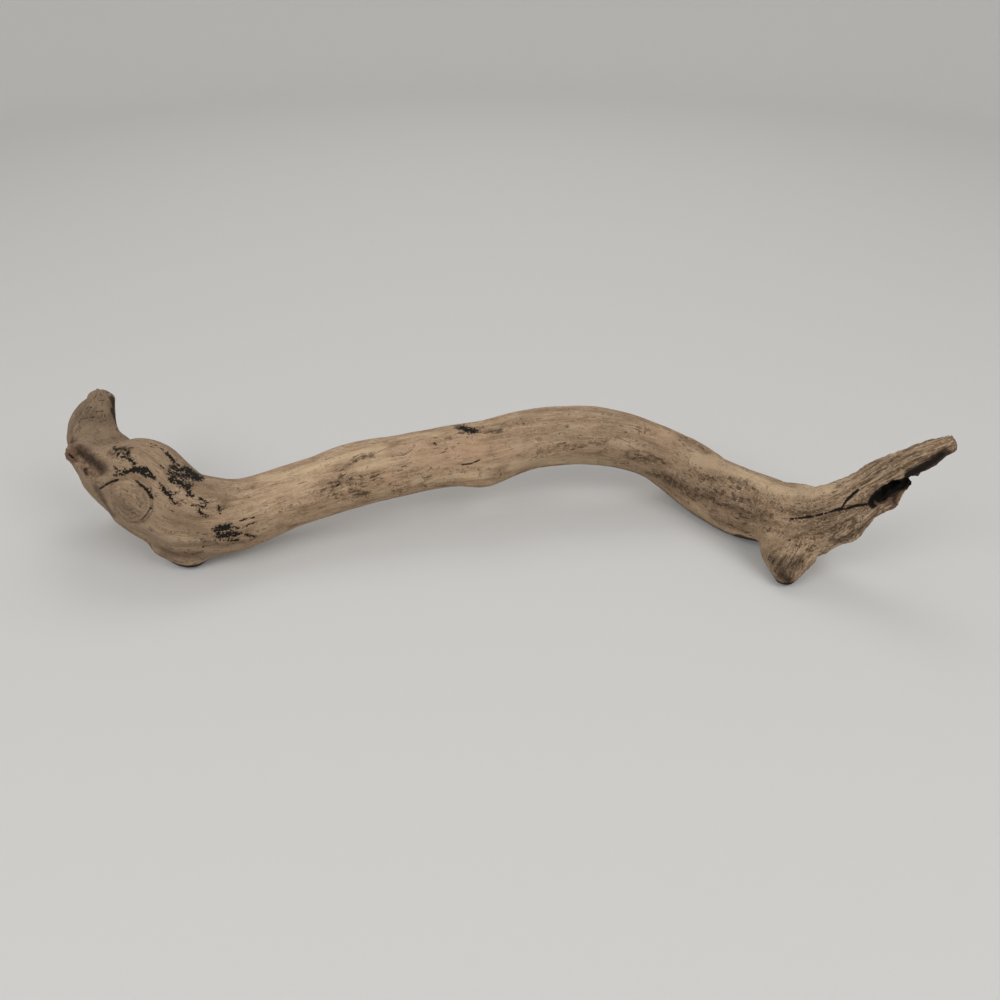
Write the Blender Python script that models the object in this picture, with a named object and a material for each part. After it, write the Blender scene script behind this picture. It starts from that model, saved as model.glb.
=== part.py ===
"""A weathered driftwood branch, lying on a table.

One solid piece of wood. A bowed stem runs from a swollen burl on the left to a split fork on the right.
The burl carries a broken beak, a short prong behind it, a healed knot on its face and a low foot.
The fork has a second foot and a long tapering prong with a rotted hollow under it.

Metres, +Z up. X runs along the branch, and Y runs from its front to its back. The origin is at the middle of
the underside: the centre of the bounding box in X and Y, with the low flat spots at Z = 0.
"""

import math

import bmesh
import bpy
import numpy as np
from mathutils import Vector, noise

MM = 0.001

# Each limb is a list of stations along its centre line, in millimetres:
# x, y, z, half its thickness from front to back, half its thickness as the front shows it.
STEM = (
    (-277, -43, 70, 5, 5.5),
    (-272, -43, 66, 8, 8.5),
    (-266, -43, 61, 12, 12),
    (-260, -44, 57, 17, 17),
    (-252, -45, 53, 22, 22),
    (-243, -46, 50, 26, 27),
    (-233, -49.5, 46.5, 29, 30.5),
    (-219, -57, 39.5, 28, 29),
    (-205, -63, 33, 26.5, 27),
    (-190, -64, 30, 25, 26.5),
    (-175, -59, 28.5, 24, 23.5),
    (-160, -52, 29, 22, 21.5),
    (-133, -39, 32, 21, 20.5),
    (-101, -26, 36, 21, 21),
    (-68, -17, 40, 21, 20.5),
    (-34, -8, 43, 21, 21),
    (-7, -6, 45, 21, 21.5),
    (21, 5, 47, 20.5, 21),
    (49, 9, 48, 20, 20.5),
    (77, 10, 46, 20, 20),
    (104, 9, 37.5, 20, 20.5),
    (124, 5.5, 27, 21, 22),
    (139, -4.5, 20.8, 21.5, 23),
    (156, -25, 20.5, 21, 22.5),
    (176, -47, 24, 22, 21.5),
    (191, -61, 32, 20, 18.5),
    (203, -70, 41.5, 16, 14),
    (214, -74, 51.5, 11, 11),
    (224, -76, 61, 9, 9),
    (235, -76, 70.4, 8, 9.2),
    (245, -78, 78.6, 8, 9.4),
    (254, -81, 86.7, 7.5, 8.6),
    (263, -84, 94.4, 6.5, 7.4),
    (270, -86, 99.6, 5.5, 6.2),
)
BACK_PRONG = (
    (-240, -40, 34, 20, 18),
    (-257, -25, 42, 18, 19),
    (-272.5, -15, 54, 14, 23),
    (-271.8, -10, 66, 10.5, 23.2),
    (-269, -7.5, 74, 8, 18.2),
    (-265.8, -6, 81, 6.8, 12.6),
    (-263.6, -4.5, 88.5, 6.2, 9),
)
HEEL = (
    (-226, -50, 38, 16, 16),
    (-233, -38, 31, 24, 24),
    (-241, -26, 23, 23, 23),
    (-248, -16, 15, 18, 19),
    (-252, -10, 8, 12, 14),
    (-254, -7, 3, 6, 8),
)
RIM = (
    (-256, -50, 58, 12, 12),
    (-265, -42, 60, 10, 11),
    (-271, -31, 61, 9, 11),
    (-273, -18, 61, 9, 11),
)
LEFT_FOOT = (
    (-201, -56, 36, 18, 20),
    (-202, -60, 28, 22, 25),
    (-204, -65.5, 19, 20, 25),
    (-204, -70.5, 11, 16.5, 20.5),
    (-204, -73.5, 5, 12.5, 15),
    (-204.5, -74.8, 0.4, 8.5, 9.5),
)
LEFT_LOBE = (
    (-212, -68, 22, 10, 10),
    (-219, -75, 13, 8, 8),
    (-222, -77, 9, 5, 6),
)
RIGHT_FOOT = (
    (186, -50, 32, 9, 12),
    (187, -57, 29, 15, 18),
    (188, -66, 25, 16.5, 20.5),
    (187, -76, 18.5, 15, 19.5),
    (184, -86, 11.5, 12.5, 15.5),
    (181.5, -94.5, 6.5, 9, 9.2),
    (180, -98.5, 1.5, 5, 4.4),
)
WEB = (
    (178, -52, 28, 12, 12),
    (188, -62, 31, 16.5, 16.5),
    (200.5, -73, 29, 15.5, 16.8),
    (213.5, -78.4, 36.8, 12.2, 11.6),
    (224, -81, 43.4, 10, 11),
    (232, -79.5, 50.5, 8.5, 9.8),
    (240, -77, 58, 7.5, 8.3),
    (247, -75.5, 64, 6.5, 7.3),
    (252, -75, 69, 5, 5),
)
LIMBS = {"stem": STEM, "back prong": BACK_PRONG, "heel": HEEL, "rim": RIM, "left foot": LEFT_FOOT,
         "left lobe": LEFT_LOBE, "right foot": RIGHT_FOOT, "web": WEB}

# Swellings and hollows of the surface, in millimetres: x, y, z, reach, height (negative for a hollow).
BUMPS = (
    (-12, -22, 32, 16, 3.5),
    (243, -84, 54, 6, 3.2),
    (220, -88, 32, 7, 3.0),
    (232, -87, 43, 7, -2.0),
    (261, -84, 85.5, 5, 1.8),
    (202, -80, 19, 8, 2.0),
    (-240, -52, 76, 14, 1.5),
    (-261.5, -4, 92, 4.5, 8),
    (-269.5, -4, 91, 3.5, -6.0),
    (-273.5, -4, 88, 2.5, 2.0),
    (-188, -88, 22, 10, -1.8),
    (-226, -84, 24, 9, -2.0),
)
# The edge left along the top of the bow, then the same line's furrow just in front of it.
EDGE_LINE = ((62, 4, 67), (79, 4.5, 65.5), (91, 5, 62.5), (104, 7, 58), (115, 6, 54), (125, 5, 50.5),
             (134, 4, 47.5), (142, -1, 45.5), (149, -10, 44))
EDGE_HEIGHT = 1.8
EDGE_REACH = 4.0
# The healed knot on the burl's face: a low dome in a groove that is deepest above it.
KNOT_CENTRE = (-232, -80, 52)
KNOT_OUT = (-0.25, -0.92, 0.31)
KNOT_RADIUS = 15.0
KNOT_DOME = 1.2
KNOT_GROOVE = 2.5
KNOT_GROOVE_REACH = 2.2

# Flutes that run with the grain. The fork and its foot are rougher than the stem, with sharp furrows.
FLUTE = 1.7
FLUTE_ALONG = 80.0
FLUTE_ACROSS = 13.0
FURROW = 2.2
FURROW_ALONG = 45.0
FURROW_ACROSS = 8.0
FORK_FROM, FORK_TO = 150.0, 215.0
FULL_RELIEF_AT = 17.0
# Evens out the noise: smooth noise rarely comes near 1, and a furrow is the noise folded at 0.
NOISE_GAIN = 1.6
FOLD_GAIN, FOLD_MIDDLE = 2.4, 0.7
STEM_SHARE = 0.25
SEEDS = {"flutes": 7.3, "furrows": 31.7, "torn": 53.1, "lumps": 11.9}
# The limbs whose own lines the grain follows. The feet and the rim have the grain of the stem.
GRAINED = ("stem", "back prong", "web")
GRAIN_FULL = 0.9
GRAIN_REACH = 2.5
# How far the fibres stand out of line at the first and the last end of each limb that is broken.
RAGGED = {"stem": (1.2, 1.2), "back prong": (0, 2.6), "web": (0, 2.0)}
RAGGED_REACH = 7.0
RAGGED_GRAIN = 3.5

# The drying crack, which starts in the fork and splits in two, and the wedge that opens it.
CRACK = ((186, -81.5, 41), (194, -82, 43.2), (199.7, -82.8, 45.3), (205.2, -83.9, 47.6), (210.8, -84.6, 50.3),
         (216.4, -85.3, 52.3), (222.1, -85.6, 54), (227.9, -85.8, 55.7), (236, -84, 60))
CRACK_FORK = ((208, -84.3, 49), (214.5, -84, 57), (219.6, -83.3, 63.6), (228, -82, 71.5))
CRACK_OUT = (-0.12, -0.93, 0.34)
CRACK_DEPTH = 6.0
CRACK_PROUD = 3.0
CRACK_HALF_WIDTH = 1.8
CRACK_WANDER = 0.35
CRACK_WAVES = 4.5
# The rotted hollow under the prong, and the scoop that broke out of the beak's face. Each is a lumpy egg,
# with its centre, the way its long axis runs, the way out of the wood, and half its length, depth and width.
HOLLOW = {"centre": (243, -84, 64.5), "along": (0.83, 0, 0.56), "out": (0, -1, 0), "half": (17, 12.5, 7)}
SCOOP = {"centre": (-264.8, -57.9, 68.8), "along": (0.78, -0.6, -0.17), "out": (-0.5, -0.55, 0.67),
         "half": (18, 7.8, 10.5)}
LUMPS = 0.2
LUMP_SIZE = 2.3

# How square each limb's section is: 1 is an ellipse, less is squarer.
SQUARE = {"back prong": 0.85}

SIDES = 28
RING_GAP = 4 * MM
VOXEL = 2.2 * MM
BLEND_STEPS = 8
TRIANGLES = 10400
FLAT_LIFT = 1.2 * MM
MERGE = 0.02 * MM
WOOD = (0.42, 0.31, 0.2, 1.0)
WOOD_ROUGHNESS = 0.85


def smooth_line(stations, gap):
    """Rows of the station table, read from a Catmull-Rom curve through them, about gap apart."""
    rows = np.array(stations, float)
    padded = np.vstack([2 * rows[0] - rows[1], rows, 2 * rows[-1] - rows[-2]])
    line = []
    for p0, p1, p2, p3 in zip(padded, padded[1:], padded[2:], padded[3:]):
        steps = max(2, round(np.linalg.norm(p2[:3] - p1[:3]) / gap))
        for t in np.arange(steps) / steps:
            line.append(0.5 * (2 * p1 + (p2 - p0) * t + (2 * p0 - 5 * p1 + 4 * p2 - p3) * t**2
                               + (3 * p1 - p0 - 3 * p2 + p3) * t**3))
    line.append(rows[-1])
    return np.array(line)


def unit(vectors):
    """Each vector at length 1."""
    return vectors / np.linalg.norm(vectors, axis=-1, keepdims=True)


def spine(stations):
    """A limb's centre line with a frame carried along it, and its half thicknesses."""
    line = smooth_line(np.array(stations, float) * MM, RING_GAP)
    centre = line[:, :3]
    ahead = unit(np.gradient(centre, axis=0))
    side = np.empty_like(centre)
    carried = np.cross((0, 1, 0), ahead[0])
    for k, forward in enumerate(ahead):
        carried = unit(carried - forward * carried.dot(forward))
        side[k] = carried
    arc = np.concatenate([[0], np.cumsum(np.linalg.norm(np.diff(centre, axis=0), axis=1))])
    return {"centre": centre, "ahead": ahead, "side": side, "over": np.cross(ahead, side),
            "deep": line[:, 3], "tall": line[:, 4], "arc": arc}


def limb(name, line):
    """A closed tube of elliptical rings along a spine, its ends closed by one face each."""
    turn = np.linspace(0, 2 * math.pi, SIDES, endpoint=False)[None, :, None]
    square = SQUARE.get(name, 1)
    sideways, upright = (np.sign(wave) * np.abs(wave)**square for wave in (np.cos(turn), np.sin(turn)))
    rings = (line["centre"][:, None] + line["side"][:, None] * line["tall"][:, None, None] * sideways
             + line["over"][:, None] * line["deep"][:, None, None] * upright)
    count = len(rings)
    faces = [list(range(SIDES))[::-1], list(range((count - 1) * SIDES, count * SIDES))]
    for row in range(count - 1):
        for k in range(SIDES):
            n = (k + 1) % SIDES
            faces.append([row * SIDES + k, row * SIDES + n, (row + 1) * SIDES + n, (row + 1) * SIDES + k])
    mesh = bpy.data.meshes.new(name)
    mesh.from_pydata(rings.reshape(-1, 3).tolist(), [], faces)
    shell = bmesh.new()
    shell.from_mesh(mesh)
    bmesh.ops.recalc_face_normals(shell, faces=shell.faces)
    shell.to_mesh(mesh)
    shell.free()
    return mesh


def evaluated(obj):
    """A mesh of the object with its modifiers applied."""
    graph = bpy.context.evaluated_depsgraph_get()
    return bpy.data.meshes.new_from_object(obj.evaluated_get(graph))


def grain(points, line):
    """How far along a limb points lie, their two offsets from its middle, its share of them, its thickness."""
    apart = points[:, None] - line["centre"][None]
    row = np.argmin((apart**2).sum(-1), axis=1)
    off = points - line["centre"][row]
    ahead = (off * line["ahead"][row]).sum(1)
    side = (off * line["side"][row]).sum(1)
    over = (off * line["over"][row]).sum(1)
    beyond = np.where((row == 0) | (row == len(line["arc"]) - 1), np.abs(ahead), 0)
    tall, deep = line["tall"][row], line["deep"][row]
    reach = np.sqrt((side / tall)**2 + (over / deep)**2) + beyond / tall
    past = np.maximum(0, reach - GRAIN_FULL)
    share = np.exp(-GRAIN_REACH * (past + past**2))
    return line["arc"][row] + ahead, side, over, share, deep


def rolling(points, seed):
    """Smooth noise from -1 to 1 at points."""
    return np.array([noise.noise(Vector(point) + Vector((seed, seed, seed))) for point in points.tolist()])


def bell(distance, reach):
    """1 at no distance, and nearly 0 at twice the reach."""
    return np.exp(-(distance / reach)**2)


def distance_to_line(points, corners):
    """How far each point is from a line of straight pieces."""
    corners = np.array(corners, float)
    near = np.full(len(points), np.inf)
    for start, end in zip(corners, corners[1:]):
        along = end - start
        t = np.clip((points - start) @ along / along.dot(along), 0, 1)
        near = np.minimum(near, np.linalg.norm(points - start - t[:, None] * along, axis=1))
    return near


def smoothstep(values, low, high):
    """0 below low and 1 above high, with an even curve between."""
    t = np.clip((values - low) / (high - low), 0, 1)
    return t * t * (3 - 2 * t)


def relief(points, normals, lines):
    """The points moved along their normals for the flutes, furrows, knot and bumps, and torn at the ends."""
    mm = points / MM
    height = np.zeros(len(points))
    for x, y, z, reach, amount in BUMPS:
        height += amount * bell(np.linalg.norm(mm - (x, y, z), axis=1), reach)

    edge = distance_to_line(mm, EDGE_LINE)
    height += EDGE_HEIGHT * (bell(edge, EDGE_REACH) - 0.5 * bell(edge - 2.2 * EDGE_REACH, EDGE_REACH))

    out = unit(np.array(KNOT_OUT))
    from_knot = mm - KNOT_CENTRE
    level = from_knot @ out
    across = from_knot - level[:, None] * out
    radius = np.linalg.norm(across, axis=1)
    on_face = bell(level, KNOT_RADIUS)
    above = 0.65 + 0.35 * across[:, 2] / np.maximum(radius, 1)
    height += on_face * KNOT_DOME * np.clip(1 - (radius / KNOT_RADIUS)**2, 0, 1)
    height -= on_face * above * KNOT_GROOVE * bell(radius - KNOT_RADIUS, KNOT_GROOVE_REACH)

    fork = smoothstep(mm[:, 0], FORK_FROM, FORK_TO)
    total = np.zeros(len(points))
    flutes = np.zeros(len(points))
    shift = np.zeros_like(points)
    for number, name in enumerate(GRAINED):
        line = lines[name]
        along, side, over, share, thick = grain(points, line)
        thin = np.minimum(1, thick / MM / FULL_RELIEF_AT)
        place = np.column_stack([along / FLUTE_ALONG, side / FLUTE_ACROSS, over / FLUTE_ACROSS]) / MM
        value = FLUTE * NOISE_GAIN * rolling(place, SEEDS["flutes"] * number)
        place = np.column_stack([along / FURROW_ALONG, side / FURROW_ACROSS, over / FURROW_ACROSS]) / MM
        folded = FOLD_GAIN * np.abs(rolling(place, SEEDS["furrows"] + number)) - FOLD_MIDDLE
        value += FURROW * (STEM_SHARE + fork) * folded
        flutes += share * thin * value
        total += share
        first, last = RAGGED.get(name, (0, 0))
        torn = (last * smoothstep(along - line["arc"][-1], -RAGGED_REACH * MM, 0)
                - first * smoothstep(-along, -RAGGED_REACH * MM, 0))
        place = np.column_stack([side, over, 0 * side]) / MM / RAGGED_GRAIN
        pull = share * torn * NOISE_GAIN * MM * rolling(place, SEEDS["torn"] + number)
        row = np.clip(np.searchsorted(line["arc"], along), 0, len(line["arc"]) - 1)
        shift += pull[:, None] * line["ahead"][row]
    height += flutes / np.maximum(total, 0.05)
    return points + normals * (height * MM)[:, None] + shift


def wedge(name, path):
    """A blade along a path on the surface, proud of it, which tapers to nothing at its edge and its ends."""
    line = smooth_line(path, 2.0)
    tangent = unit(np.gradient(line, axis=0))
    out = unit(np.array(CRACK_OUT))
    across = unit(np.cross(tangent, out))
    t = np.linspace(0, 1, len(line))[:, None]
    width = CRACK_HALF_WIDTH * (0.08 + 0.92 * np.sin(math.pi * t)**0.7)
    wander = CRACK_WANDER * np.sin(2 * math.pi * CRACK_WAVES * t + 1) * np.sin(math.pi * t)
    middle = line + across * wander
    rows = np.stack([middle + out * CRACK_PROUD + across * width, middle + out * CRACK_PROUD - across * width,
                     middle - out * CRACK_DEPTH * (0.3 + 0.7 * np.sin(math.pi * t))], axis=1) * MM
    count = len(rows)
    faces = [[0, 1, 2], [3 * count - 1, 3 * count - 2, 3 * count - 3]]
    for row in range(count - 1):
        for k in range(3):
            n = (k + 1) % 3
            faces.append([3 * row + n, 3 * row + k, 3 * row + 3 + k, 3 * row + 3 + n])
    return cutter(name, rows.reshape(-1, 3), faces)


def hollow(name, shape):
    """A lumpy egg, which cuts a pocket."""
    ball = bmesh.new()
    bmesh.ops.create_icosphere(ball, subdivisions=3, radius=1)
    points = np.array([vert.co for vert in ball.verts])
    faces = [[vert.index for vert in face.verts] for face in ball.faces]
    ball.free()
    points = points * shape["half"] * (1 + LUMPS * rolling(points * LUMP_SIZE, SEEDS["lumps"])[:, None])
    along = unit(np.array(shape["along"]))
    out = unit(np.array(shape["out"]) - along * along.dot(shape["out"]))
    return cutter(name, (points @ np.array((along, out, np.cross(along, out))) + shape["centre"]) * MM, faces)


def cutter(name, points, faces):
    """A closed shape to cut with, left out of renders."""
    mesh = bpy.data.meshes.new(name)
    mesh.from_pydata(points.tolist(), [], faces)
    shell = bmesh.new()
    shell.from_mesh(mesh)
    bmesh.ops.recalc_face_normals(shell, faces=shell.faces)
    shell.to_mesh(mesh)
    shell.free()
    obj = bpy.data.objects.new(name, mesh)
    bpy.context.scene.collection.objects.link(obj)
    obj.hide_render = True
    obj.display_type = "WIRE"
    return obj


def settle(mesh):
    """Cuts the low spots flat at one height, and puts the origin at the middle of the underside."""
    solid = bmesh.new()
    solid.from_mesh(mesh)
    floor = min(vert.co.z for vert in solid.verts) + FLAT_LIFT
    geometry = solid.verts[:] + solid.edges[:] + solid.faces[:]
    cut = bmesh.ops.bisect_plane(solid, geom=geometry, plane_co=(0, 0, floor), plane_no=(0, 0, -1),
                                 clear_outer=True)
    rim = [item for item in cut["geom_cut"] if isinstance(item, bmesh.types.BMEdge)]
    bmesh.ops.holes_fill(solid, edges=rim, sides=0)
    bmesh.ops.remove_doubles(solid, verts=solid.verts, dist=MERGE)
    low = np.min([vert.co for vert in solid.verts], axis=0)
    high = np.max([vert.co for vert in solid.verts], axis=0)
    middle = (low + high) / 2
    bmesh.ops.translate(solid, verts=solid.verts, vec=(-middle[0], -middle[1], -floor))
    solid.to_mesh(mesh)
    solid.free()
    return Vector((-middle[0], -middle[1], -floor))


def main():
    """Builds the branch, and returns how far it was moved from the layout the station tables use."""
    for obj in list(bpy.data.objects):
        bpy.data.objects.remove(obj)
    lines = {name: spine(stations) for name, stations in LIMBS.items()}
    joined = bmesh.new()
    for name, line in lines.items():
        joined.from_mesh(limb(name, line))
    mesh = bpy.data.meshes.new("driftwood_branch")
    joined.to_mesh(mesh)
    joined.free()
    branch = bpy.data.objects.new("driftwood_branch", mesh)
    bpy.context.scene.collection.objects.link(branch)

    fuse = branch.modifiers.new("Fuse", "REMESH")
    fuse.mode = "VOXEL"
    fuse.voxel_size = VOXEL
    blend = branch.modifiers.new("Blend", "SMOOTH")
    blend.iterations = BLEND_STEPS
    branch.data = evaluated(branch)
    branch.modifiers.clear()

    skin = branch.data
    points = np.array([vert.co for vert in skin.vertices])
    normals = np.array([vert.normal for vert in skin.vertices])
    skin.vertices.foreach_set("co", relief(points, normals, lines).ravel())
    thin = branch.modifiers.new("Thin", "DECIMATE")
    thin.ratio = TRIANGLES / sum(len(face.vertices) - 2 for face in skin.polygons)
    tools = (wedge("crack", CRACK), wedge("crack_fork", CRACK_FORK),
             hollow("hollow", HOLLOW), hollow("scoop", SCOOP))
    for tool in tools:
        cut = branch.modifiers.new(tool.name, "BOOLEAN")
        cut.operation = "DIFFERENCE"
        cut.solver = "EXACT"
        cut.object = tool
    branch.data = evaluated(branch)
    branch.modifiers.clear()
    for tool in tools:
        bpy.data.objects.remove(tool)
    settled = settle(branch.data)

    wood = bpy.data.materials.new("weathered_wood")
    wood.use_nodes = True
    shader = wood.node_tree.nodes["Principled BSDF"]
    shader.inputs["Base Color"].default_value = WOOD
    shader.inputs["Roughness"].default_value = WOOD_ROUGHNESS
    branch.data.materials.clear()
    branch.data.materials.append(wood)
    return settled


LAYOUT_SHIFT = main()
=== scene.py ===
import math

import bmesh
import bpy
import numpy as np
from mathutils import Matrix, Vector
from mathutils.bvhtree import BVHTree


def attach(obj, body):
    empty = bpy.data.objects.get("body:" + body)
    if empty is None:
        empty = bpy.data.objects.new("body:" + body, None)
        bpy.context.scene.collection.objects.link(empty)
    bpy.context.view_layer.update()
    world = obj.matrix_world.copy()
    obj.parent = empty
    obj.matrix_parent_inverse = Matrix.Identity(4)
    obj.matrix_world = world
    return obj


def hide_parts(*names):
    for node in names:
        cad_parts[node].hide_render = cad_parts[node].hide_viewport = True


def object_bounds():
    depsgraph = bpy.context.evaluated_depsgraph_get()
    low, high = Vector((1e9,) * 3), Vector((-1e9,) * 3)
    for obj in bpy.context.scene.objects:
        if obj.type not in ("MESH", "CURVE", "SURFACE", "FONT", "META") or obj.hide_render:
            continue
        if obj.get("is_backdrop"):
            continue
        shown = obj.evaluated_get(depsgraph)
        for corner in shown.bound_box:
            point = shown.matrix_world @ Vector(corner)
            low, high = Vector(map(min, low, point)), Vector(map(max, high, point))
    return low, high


# A weathered driftwood branch lying on a pale floor. The CAD node gives its form, and this script adds
# the skin: fibres, small relief, knot rings, cracks, beetle galleries and the colours of the wood.
# Lengths in the dictionaries are millimetres unless a note says otherwise.

mm = 0.001

print("loading the frame")
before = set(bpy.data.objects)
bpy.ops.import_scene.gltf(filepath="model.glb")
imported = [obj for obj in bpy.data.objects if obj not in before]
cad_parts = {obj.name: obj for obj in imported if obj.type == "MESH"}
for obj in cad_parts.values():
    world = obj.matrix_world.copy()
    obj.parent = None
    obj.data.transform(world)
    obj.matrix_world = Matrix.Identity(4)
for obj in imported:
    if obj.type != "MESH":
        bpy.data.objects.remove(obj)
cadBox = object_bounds()

# The camera stands 720 mm from a point on the floor and looks at it from 34 degrees up. The light is a pale
# room, two wide panels left and right behind the camera, and a weaker one behind the branch.
studio = {
    "aim": (11.8, 36.2, 0.3),
    "distance": 720,
    "elevation": 34,  # degrees
    "lens": 36.1,
    "sensor": 36,
    "panels": (((-750, -800, 1050), 7.4), ((800, -750, 1050), 7.0), ((0, 950, 1250), 4.6)),  # place and watts
    "panelSize": (900, 700),
    "skyColour": "#f6f5f4",
    "skyStrength": 0.49,
}

# Centre lines of the limbs, which the grain follows: x, y, z, half the thickness from front to back, half of
# it as the front shows it. They are laid out like the part's own, so all of them shift into the row frame.
layoutShift = (11.8, 36.2, 0.3)
limbLines = {
    "stem": (
        (-277, -43, 70, 5, 5.5), (-266, -43, 61, 12, 12), (-252, -45, 53, 22, 22),
        (-233, -49.5, 46.5, 29, 30.5),
        (-219, -57, 39.5, 28, 29), (-205, -63, 33, 26.5, 27), (-190, -64, 30, 25, 26.5),
        (-175, -59, 28.5, 24, 23.5),
        (-160, -52, 29, 22, 21.5), (-133, -39, 32, 21, 20.5), (-101, -26, 36, 21, 21),
        (-68, -17, 40, 21, 20.5),
        (-34, -8, 43, 21, 21), (-7, -6, 45, 21, 21.5), (21, 5, 47, 20.5, 21), (49, 9, 48, 20, 20.5),
        (77, 10, 46, 20, 20), (104, 9, 37.5, 20, 20.5), (124, 5.5, 27, 21, 22), (139, -4.5, 20.8, 21.5, 23),
        (156, -25, 20.5, 21, 22.5), (176, -47, 24, 22, 21.5), (191, -61, 32, 20, 18.5),
        (203, -70, 41.5, 16, 14),
        (214, -74, 51.5, 11, 11), (224, -76, 61, 9, 9), (235, -76, 70.4, 8, 9.2), (245, -78, 78.6, 8, 9.4),
        (254, -81, 86.7, 7.5, 8.6), (263, -84, 94.4, 6.5, 7.4), (270, -86, 99.6, 5.5, 6.2)),
    "backProng": (
        (-240, -40, 34, 20, 18), (-257, -25, 42, 18, 19), (-272.5, -15, 54, 14, 23),
        (-271.8, -10, 66, 10.5, 23.2),
        (-269, -7.5, 74, 8, 18.2), (-265.8, -6, 81, 6.8, 12.6), (-263.6, -4.5, 88.5, 6.2, 9)),
    "web": (
        (178, -52, 28, 12, 12), (188, -62, 31, 16.5, 16.5), (200.5, -73, 29, 15.5, 16.8),
        (213.5, -78.4, 36.8, 12.2, 11.6), (224, -81, 43.4, 10, 11), (232, -79.5, 50.5, 8.5, 9.8),
        (240, -77, 58, 7.5, 8.3), (252, -75, 69, 5, 5)),
    "rightFoot": (
        (219, -86, 45, 8, 8), (201, -89, 26, 13, 14), (187, -92, 13, 12.5, 13), (181, -97, 2, 8, 8)),
}

# Knots: centre and way out in the same layout, radius, gap between rings and their height. The first is the
# healed one on the burl's face.
knots = (
    {"centre": (-232, -80, 52), "out": (-0.25, -0.92, 0.31), "radius": 15, "ringGap": 3.3,
        "ringHeight": 0.36},
    {"centre": (-12, -22, 32), "out": (0, -0.8, -0.6), "radius": 6, "ringGap": 2.6, "ringHeight": 0.12},
)

# Places where the wood is cut in: the rotted hollow under the long prong, and the broken face of the beak.
# The hollow's painted shade is near black along a line in the picture, with a half width.
cuts = {
    "hollow": {"centre": (243, -84, 64.5), "along": (0.83, 0, 0.56), "out": (0, -1, 0),
        "half": (17, 12.5, 7)},
    "beakFace": {"centre": (-264.8, -57.9, 68.8), "along": (0.78, -0.6, -0.17), "out": (-0.5, -0.55, 0.67),
                 "half": (18, 7.8, 10.5)},
}
hollowShadowLine = {"line": ((877, 496), (890, 488), (903, 480), (916, 473)), "halfWidth": 4.3}
deepCracks = (
    ((186, -81.5, 41), (194, -82, 43.2), (205.2, -83.9, 47.6), (216.4, -85.3, 52.3), (227.9, -85.8, 55.7),
     (236, -84, 60)),
    ((208, -84.3, 49), (214.5, -84, 57), (219.6, -83.3, 63.6)),
)

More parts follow.
